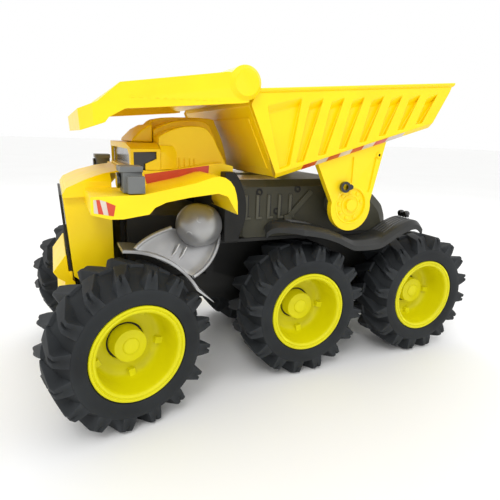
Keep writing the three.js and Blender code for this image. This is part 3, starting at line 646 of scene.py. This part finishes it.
both_sides("bed_side", bed_side, YELLOW, "bed", "body_yellow", bevel=0.9, segments=3, angle=20)
both_sides("bed_rail", bed_rail, YELLOW, "bed", "body_yellow", bevel=0.3, segments=2, angle=40)
add("bed_floor", mesh_from(bed_floor, "bed_floor"), YELLOW, "bed", "body_yellow", bevel=0.5,
    replaces=("bed_tub",))
add("bed_front_wall", mesh_from(bed_front, "bed_front_wall"), YELLOW, "bed", "body_yellow", bevel=0.7)
add("bed_front_lip", mesh_from(bed_lip, "bed_front_lip"), YELLOW, "bed", "body_yellow", bevel=0.8)

# Warning tape on the lower edge of each side, from the front to the rear: where each length ends.
TAPE_STOPS = [1, -12, -23, -35, -47, -59, -71, -84, -103]


def edge_tape(first):
    def build(bm):
        for start, stop in list(zip(TAPE_STOPS, TAPE_STOPS[1:]))[first::2]:
            corners = []
            for x, side in ((start, 0.3), (stop, 0.3), (stop, CHAMFER - 0.3), (start, CHAMFER - 0.3)):
                corners.append(at(x, BED_HALF - side, floor_z(x) + CHAMFER - side))
            out = Vector((0, 1, -1)).normalized() * mm(0.25)
            plate(bm, corners, out)
    return build


both_sides("edge_tape_red", edge_tape(0), RED_TAPE, "bed", "body_yellow", bevel=0.06, segments=1)
both_sides("edge_tape_white", edge_tape(1), WHITE_TAPE, "bed", "body_yellow", bevel=0.06, segments=1)

# ---------------------------------------------------------------- brackets
PIVOT_X, PIVOT_Z = -55.0, 160.0
BRACKET_FACE = 88.5
BOLTS = 8
BOLT_CIRCLE = 12.2
BOLT_START = math.radians(-115)
BOSS = (-81, BRACKET_FACE, 205)


def bracket_relief(bm):
    """Hub, ring and bolt heads in the round recess, and the screw boss at the rear edge."""
    out = (0, 1, 0)
    floor_y = BRACKET_FACE - 1.5
    hub = facing(at(PIVOT_X, floor_y, PIVOT_Z), out)
    lathe(bm, [(0, 1.5), (4.6, 1.5), (5.2, 0.9), (5.2, -0.4), (0, -0.4)], 32, closed=False, turn=hub)
    lathe(bm, [(8.2, -0.4), (8.4, 0.5), (9.4, 0.5), (9.6, -0.4)], 40, turn=hub)
    rim_ring = facing(at(PIVOT_X, BRACKET_FACE, PIVOT_Z), out)
    lathe(bm, [(15.4, -1.4), (15.6, 0.5), (16.6, 0.6), (17.4, -0.2)], 48, turn=rim_ring)
    for i in range(BOLTS):
        angle = BOLT_START + i * 2 * math.pi / (BOLTS + 1)
        center = (PIVOT_X + BOLT_CIRCLE * math.cos(angle), floor_y, PIVOT_Z + BOLT_CIRCLE * math.sin(angle))
        disc(bm, 1.6, center, out, 0.9, 16, dome=0.5)
    boss = facing(at(*BOSS), out)
    lathe(bm, [(1.2, 0.2), (1.5, 1.4), (2.5, 1.4), (3.0, 0.9), (3.2, -0.4), (1.2, -0.4)], 24, turn=boss)


# Dark disc down in the screw boss's hole: painted shadow.
def bracket_hole_shadow(bm):
    disc(bm, 1.3, BOSS, (0, 1, 0), 0.4, 16)


both_sides("bracket_relief", bracket_relief, YELLOW, "bed", "body_yellow", angle=40)
both_sides("bracket_hole_shadow", bracket_hole_shadow, DARK, "bed", "black_plastic")

# ---------------------------------------------------------------- canopy details
ROLL_X, ROLL_Z = 57.0, 255.5
CANOPY_SIDE = 100.0
DASHES = 12
DASH_START, DASH_PITCH = 76, 5.6


def roll_end(bm):
    lathe(bm, [(0, 3.0), (5, 2.6), (9, 1.5), (11.3, -0.4), (12.2, -2.6), (12.4, -4), (0, -4)], 48,
          closed=False, turn=facing(at(ROLL_X, CANOPY_SIDE, ROLL_Z), (0, 1, 0)))


def canopy_dashes(bm):
    for i in range(DASHES):
        x = DASH_START + i * DASH_PITCH
        z = 241.5 - (x - DASH_START) * 0.02
        across(bm, [(x, z), (x + 2.6, z), (x + 2.2, z + 1.1), (x + 0.3, z + 1.1)],
               CANOPY_SIDE - 0.3, CANOPY_SIDE + 0.35)


both_sides("roll_end", roll_end, YELLOW, "bed", "body_yellow", angle=50)
both_sides("canopy_dashes", canopy_dashes, YELLOW, "bed", "body_yellow", bevel=0.15, segments=2)

# ---------------------------------------------------------------- housing
DECK_HALF = 64.0
HOUSING_LINE = [(49.5, 129.9), (49.5, 178), (45.5, 181), (-72, 181), (-94, 172), (-106, 163), (-116, 154),
                (-121, 142), (-122, 129.9)]
HOUSING_CHAMFER = 6.0
HOUSING_MIDDLE = -36.0
LOUVRE_X = [38.5 - i * 10.9 for i in range(5)]
SCREWS = [(26, 170.5), (-12.4, 172.5), (8.2, 153)]


def housing(bm):
    """Block on the deck, drawn in towards its middle over the last few mm of each side."""
    line = fillet(HOUSING_LINE, 4, 3)
    low = min(z for x, z in line)

    def inset(amount):
        return [(x + (HOUSING_MIDDLE - x) * amount / 60, z - amount if z > low + 6 else z) for x, z in line]

    loft(bm, [[at(x, y, z) for x, z in ring] for y, ring in (
        (-DECK_HALF + HOUSING_CHAMFER, line), (DECK_HALF - HOUSING_CHAMFER, line))])
    for sign in (1, -1):
        rings = [(DECK_HALF - HOUSING_CHAMFER - 0.2, inset(0)), (DECK_HALF, inset(HOUSING_CHAMFER))]
        loft(bm, [[at(x, sign * y, z) for x, z in ring] for y, ring in rings])


def louvres(bm):
    """Five raised bars with a foot each, and a diagonal strut with its foot."""
    for x in LOUVRE_X:
        across(bm, [(x + 1.5, 146.5), (x + 1.5, 168), (x - 1.3, 168), (x - 1.3, 148.5), (x - 4.6, 148.5),
                    (x - 4.6, 146.5)], DECK_HALF - 0.5, DECK_HALF + 1.3)
    strut = [(-24, 172), (-28, 169), (-7, 147), (-7, 141), (0, 141), (1, 149), (-3, 150)]
    across(bm, strut, DECK_HALF - 0.5, DECK_HALF + 2.2)


# Dark strips down in the louvre slots: painted shadow.
def louvre_slot_shadows(bm):
    for x in LOUVRE_X:
        across(bm, [(x - 1.5, 149), (x - 1.5, 168), (x - 2.6, 168), (x - 2.6, 149)],
               DECK_HALF - 0.5, DECK_HALF + 0.25)


# The screw holes on the housing are drawn dark: painted shadow in the holes.
def shaded_screw_holes(bm):
    profile = [(0, -0.2), (1.2, -0.2), (1.4, 0.1), (2.4, 0.1), (2.8, 0.5), (3.2, 0.5), (3.4, -0.4), (0, -0.4)]
    for x, z in SCREWS:
        lathe(bm, profile, 28, closed=False, turn=facing(at(x, DECK_HALF, z), (0, 1, 0)))


def pivot_bosses(bm):
    for sign in (1, -1):
        turn = facing(at(PIVOT_X, 0, PIVOT_Z), (0, sign, 0))
        lathe(bm, [(3.3, 62), (3.3, 81.5), (12.4, 81.5), (13, 80.9), (13, 62)], 40, turn=turn)


add("chassis_housing_detail", mesh_from(housing, "housing"), GREY, "root", "chassis_grey", bevel=0.6,
    segments=3, replaces=("chassis_housing",))
add("pivot_bosses", mesh_from(pivot_bosses, "pivot_bosses"), GREY, "root", "chassis_grey")
both_sides("louvres", louvres, GREY, "root", "chassis_grey", bevel=0.4)
both_sides("louvre_slot_shadows", louvre_slot_shadows, DARK, "root", "black_plastic", bevel=0.1, segments=1)
both_sides("shaded_screw_holes", shaded_screw_holes, DARK, "root", "black_plastic")


def housing_tape(bm):
    block(bm, (2, 14, 180.9), (44.5, 57.5, 181.2))


both_sides("housing_tape", housing_tape, WHITE_TAPE, "root", "chassis_grey", bevel=0.05, segments=1)

# ---------------------------------------------------------------- rear fenders
FENDER_LINE = [(20, 139), (14, 144), (0, 145), (-22, 141.5), (-40, 136), (-54, 129.5), (-64, 126.5),
               (-88, 126.5), (-100, 131), (-114, 138.5), (-128, 143), (-136, 142), (-141, 138)]
FENDER_OUTER = 93.0
# Ribs on the rear and front humps: where each one lies across the truck, and the x where they start and stop.
FENDER_RIBS = [((67.5, 71.5, 75.5, 79.5, 83.5), -98, -132), ((66.5, 70.5, 74.5), 2, -24)]
RIB_SECTION = [(-0.9, -0.3), (-0.5, 0.55), (0.5, 0.55), (0.9, -0.3)]


def fender_edge(x):
    """Outer edge of a rear fender: its front corner is cut off."""
    return min(FENDER_OUTER, 94 - (x + 6) * 0.935)


def rear_fender(bm):
    stations = []
    inner = DECK_HALF + 0.35
    for x, z in smooth(FENDER_LINE):
        edge = fender_edge(x)
        stations.append([
            at(x, y, z + dz) for y, dz in (
                (inner, 0), (edge - 4.6, 0), (edge - 3.8, -0.4), (edge, -4.2), (edge, -9), (edge - 2.4, -9),
                (edge - 2.4, -5.0), (edge - 5.2, -2.8), (inner, -2.8),
            )
        ])
    loft(bm, stations)


def fender_ribs(bm):
    """Raised lines along the top of both humps."""
    for ys, start, stop in FENDER_RIBS:
        line = [(x, z) for x, z in smooth(FENDER_LINE) if stop <= x <= start]
        for y in ys:
            loft(bm, [[at(x, y + dy, z + dz) for dy, dz in RIB_SECTION] for x, z in line])


both_sides("rear_fender_detail", rear_fender, BLACK, "root", "black_plastic", bevel=0.7, segments=3,
           angle=28, replaces="rear_fender")
both_sides("fender_ribs", fender_ribs, BLACK, "root", "black_plastic")


def tail_lamps(bm):
    for y in (68.4, 75.6):
        lathe(bm, [(0, 3.4), (1.4, 3.2), (2.5, 2.3), (3, 1), (3, -1.4), (2.4, -2.8), (0, -3.2)], 28,
              closed=False, turn=facing(at(-134, y, 147), (-1, 0, 0)))
    block(bm, (-136, 66, 143.4), (-132, 78, 145.5))


both_sides("tail_lamps_detail", tail_lamps, LENS, "root", "black_plastic", bevel=0.2, replaces="tail_lamps")

# ---------------------------------------------------------------- engine dome and stripe
CAB_BASE = 189.35
DOME_FRONT = 111.65
# Half width, edge rounding and outline of each step, from the cab over the top to the rear.
DOME_LAYERS = [
    (52, 6.0, [(111.5, 215.5), (103, 220), (93, 223.4), (81, 224.6), (72, 223), (65, 216), (61, 208),
               (55, 197), (51, CAB_BASE)]),
    (32, 3.5, [(111.5, 221), (98, 227), (84, 229.5), (65, 228.5), (57, 216), (50, 199), (46, CAB_BASE)]),
    (14, 2.5, [(111.5, 226), (100, 231.5), (57, 232.5), (50, 227), (43, 212), (39, 197), (38, CAB_BASE)]),
]


def dome_layer(half, line):
    def build(bm):
        across(bm, [(DOME_FRONT, CAB_BASE)] + [tuple(p) for p in smooth(line)], -half, half)
    return build


for number, (half, bevel, line) in enumerate(DOME_LAYERS):
    add(f"engine_dome_step_{number}", mesh_from(dome_layer(half, line), "dome"), YELLOW, "root",
        "body_yellow", bevel=bevel, segments=6, angle=50, replaces=("engine_dome",) if number == 0 else ())


def dome_ribs(bm):
    """Four short upright ribs at the foot of the side, tapering upwards."""
    for x in (95, 90.5, 86, 82):
        section = [(x - 0.7, 51.6), (x, 54.6), (x + 0.7, 51.6)]
        loft(bm, [[at(u, v, 190) for u, v in section], [at(u, min(v, 53), 198.5) for u, v in section]])


def cab_fairing(bm):
    """Carries the cab's side back into the dome."""
    outline = [(111.7, 50), (111.7, 59.6), (108, 58.2), (96, 51.5), (96, 50)]
    top = [(111.7, 50), (111.7, 56.5), (108, 55.4), (98, 51.0), (98, 50)]
    loft(bm, [[at(x, y, 189.4) for x, y in outline], [at(x, y, 203) for x, y in outline],
              [at(x, y, 208.5) for x, y in top]])


def stripe(bm):
    across(bm, [(125.2, 186), (95.1, 190.2), (71.5, 193.2), (72.1, 186), (123.7, 178.5)], 59.9, 60.25)


both_sides("dome_ribs", dome_ribs, YELLOW, "root", "body_yellow", bevel=0.2, segments=2)
both_sides("cab_fairing", cab_fairing, YELLOW, "root", "body_yellow", bevel=1.0, segments=3, angle=20)
both_sides("stripe", stripe, RED_TAPE, "root", "body_yellow", bevel=0.06, segments=1)


def decal(bounds):
    """Slanted bars on the front fender's side: (x at the top, x at the bottom) of each bar's two edges."""
    def low_edge(x):
        return (x, 162.2 + (x - 155.6) * 0.2)

    def top_edge(x):
        return (x, min(169.4 + (x - 154.1) * 0.458, 173.6))

    def build(bm):
        for (top0, low0), (top1, low1) in bounds:
            across(bm, [low_edge(low0), low_edge(low1), top_edge(top1), top_edge(top0)], 109.9, 110.2)
    return build


RED_BARS = [((154.1, 155.6), (160.2, 158.9)), ((164.2, 162.1), (166.4, 165.4))]
WHITE_BARS = [((160.2, 158.9), (164.2, 162.1)), ((166.4, 165.4), (168.2, 168.2))]
both_sides("decal_red", decal(RED_BARS), RED_TAPE, "root", "body_yellow", bevel=0.06, segments=1)
both_sides("decal_white", decal(WHITE_BARS), WHITE_TAPE, "root", "body_yellow", bevel=0.06, segments=1)

# ---------------------------------------------------------------- silver strut covers
GUARD_X, GUARD_Z = 150.4, 62.0
CAP_CENTER = (91, 79, 147.5)
CAP_AXIS = (0.6, 0.77, 0.2)
CAP_R = 17.8
CAP_DEPTH = 11.4  # from CAP_CENTER back to the middle of the dome
CAP_SCREWS = [(0.16, 0.89, 0.42), (0.62, 0.73, -0.28), (-0.38, 0.62, 0.68)]


FRONT_RIM = ((138.8, 87.5, 132.6), (127, 81.6, 139.5), (108, 73.7, 144.5))
REAR_RIM = ((93.1, 86.6, 106), (74.5, 77, 116.5), (63.8, 66.5, 134.8))
TRAY_SAG = Vector((-0.35, -0.9, -0.25))


def strut_guard(bm):
    """Strip that follows the front tyre."""
    def arc(radius, degrees):
        return [(GUARD_X + radius * math.cos(a), GUARD_Z + radius * math.sin(a))
                for a in map(math.radians, degrees)]

    across(bm, arc(70.5, range(92, 153, 4)) + [(76, 83), (75, 81.5)] + arc(68, range(152, 91, -4)), 60, 88)


def strut_tray(bm):
    """Sagging sheet between two curved rims."""
    rows = 10
    columns = 12
    grids = []
    for layer in (0, 1):
        grid = []
        for i in range(rows + 1):
            low, high = between(*FRONT_RIM, i / rows), between(*REAR_RIM, i / rows)
            row = []
            for k in range(columns + 1):
                t = k / columns
                dip = TRAY_SAG * 5.0 * (1 - (2 * t - 1) ** 4)
                row.append(low.lerp(high, t) + dip + layer * Vector((-0.6, -1.8, -0.9)))
            grid.append([bm.verts.new(at(*p)) for p in row])
        grids.append(grid)
    upper, grid = grids
    for i in range(rows):
        for k in range(columns):
            bm.faces.new((upper[i][k], upper[i + 1][k], upper[i + 1][k + 1], upper[i][k + 1]))
            bm.faces.new((grid[i][k], grid[i][k + 1], grid[i + 1][k + 1], grid[i + 1][k]))
    for i in range(rows):
        for k in (0, columns):
            bm.faces.new((upper[i][k], upper[i + 1][k], grid[i + 1][k], grid[i][k]))
    for k in range(columns):
        for i in (0, rows):
            bm.faces.new((upper[i][k], upper[i][k + 1], grid[i][k + 1], grid[i][k]))


def strut_rims(bm):
    for curve in (FRONT_RIM, REAR_RIM):
        tube(bm, [between(*curve, t / 12) for t in range(13)], 1.7, 12)
    for t in (0.44, 0.56):
        middle = between(*FRONT_RIM, 0.4).lerp(between(*REAR_RIM, 0.4), t) + TRAY_SAG * 4.2
        tube(bm, [middle + Vector(p) for p in ((4.5, 1.2, -5.5), (0, 1.8, 0), (-3.5, -0.6, 5))], 0.8, 8)


def strut_cap(bm):
    profile = [(0, 6.6), (3.5, 6.4), (7, 5.6), (10.5, 4.1), (13.6, 1.7), (16, -1.6), (17.4, -5.4),
               (CAP_R, -9.5), (CAP_R, -22), (0, -22)]
    lathe(bm, profile, 56, closed=False, turn=facing(at(*CAP_CENTER), CAP_AXIS))


def cap_screw_places():
    """Each screw's place on the dome, with +y pointing out of it."""
    middle = Vector(CAP_CENTER) - Vector(CAP_AXIS).normalized() * CAP_DEPTH
    for direction in CAP_SCREWS:
        out = Vector(direction).normalized()
        yield facing(at(*(middle + out * 17.7)), out)


def cap_screws(bm):
    profile = [(0, 0.1), (1.4, 0.1), (1.5, -0.3), (2.2, -0.3), (2.5, 0.6), (3.1, 0.4), (3.3, -0.8), (0, -0.8)]
    for turn in cap_screw_places():
        lathe(bm, profile, 28, closed=False, turn=turn)


# Dark ring in the sunk groove round each cap screw: painted shadow.
def cap_screw_well_shadows(bm):
    for turn in cap_screw_places():
        lathe(bm, [(1.5, 0.02), (2.3, 0.02), (2.3, -0.3), (1.5, -0.3)], 28, turn=turn)


both_sides("strut_cover_cap", strut_cap, SILVER, "root", "silver_plastic", bevel=0.4, angle=40,
           replaces="strut_cover")
both_sides("strut_cover_guard", strut_guard, SILVER, "root", "silver_plastic", bevel=0.6, angle=40)
both_sides("strut_cover_tray", strut_tray, SILVER, "root", "silver_plastic", angle=60)
both_sides("strut_cover_rims", strut_rims, SILVER, "root", "silver_plastic", angle=60)
both_sides("cap_screws", cap_screws, SILVER, "root", "silver_plastic", angle=50)
both_sides("cap_screw_well_shadows", cap_screw_well_shadows, DARK, "root", "black_plastic")

# ---------------------------------------------------------------- floor, light, camera
FLOOR_HALF = 20.0


def floor(bm):
    corners = ((-1, -1), (1, -1), (1, 1), (-1, 1))
    bm.faces.new([bm.verts.new((x * FLOOR_HALF, y * FLOOR_HALF, 0)) for x, y in corners])


ground = bpy.data.objects.new("floor", mesh_from(floor, "floor"))
ground.data.materials.append(FLOOR)
bpy.context.scene.collection.objects.link(ground)


def area_light(name, place, target, size, power):
    lamp = bpy.data.lights.new(name, "AREA")
    lamp.shape = "DISK"
    lamp.size = size
    lamp.energy = power
    holder = bpy.data.objects.new(name, lamp)
    holder.location = place
    holder.rotation_euler = (Vector(target) - Vector(place)).to_track_quat("-Z", "Y").to_euler()
    bpy.context.scene.collection.objects.link(holder)


area_light("key", (0.55, 0.9, 1.15), (0, 0, 0.12), 0.5, 5)
area_light("fill", (-0.9, 0.8, 0.9), (0, 0, 0.1), 0.9, 2)
area_light("back", (-0.2, -1.0, 1.0), (0, 0, 0.15), 0.8, 3)

world = bpy.data.worlds.new("studio")
world.use_nodes = True
world.node_tree.nodes["Background"].inputs["Color"].default_value = (1, 1, 1, 1)
world.node_tree.nodes["Background"].inputs["Strength"].default_value = 1.0
bpy.context.scene.world = world
bpy.context.scene.view_settings.view_transform = "Standard"

CAMERA_PLACE = (190.645, 414.418, 216.068)
FOCAL_LENGTH, SENSOR_WIDTH = 31.57, 36
YAW, PITCH, ROLL = -0.422, -0.249, 0.032
forward = Vector((math.cos(PITCH) * math.sin(YAW), -math.cos(PITCH) * math.cos(YAW), math.sin(PITCH)))
right = forward.cross(Vector((0, 0, 1))).normalized()
down = forward.cross(right)
right, down = (math.cos(ROLL) * right - math.sin(ROLL) * down, math.sin(ROLL) * right + math.cos(ROLL) * down)
view = bpy.data.cameras.new("camera")
view.sensor_width = SENSOR_WIDTH
view.lens = FOCAL_LENGTH
camera = bpy.data.objects.new("camera", view)
camera.matrix_world = Matrix.Translation(at(*CAMERA_PLACE)) @ Matrix((
    (right.x, -down.x, -forward.x, 0),
    (right.y, -down.y, -forward.y, 0),
    (right.z, -down.z, -forward.z, 0),
    (0, 0, 0, 1),
))
bpy.context.scene.collection.objects.link(camera)
bpy.context.scene.camera = camera
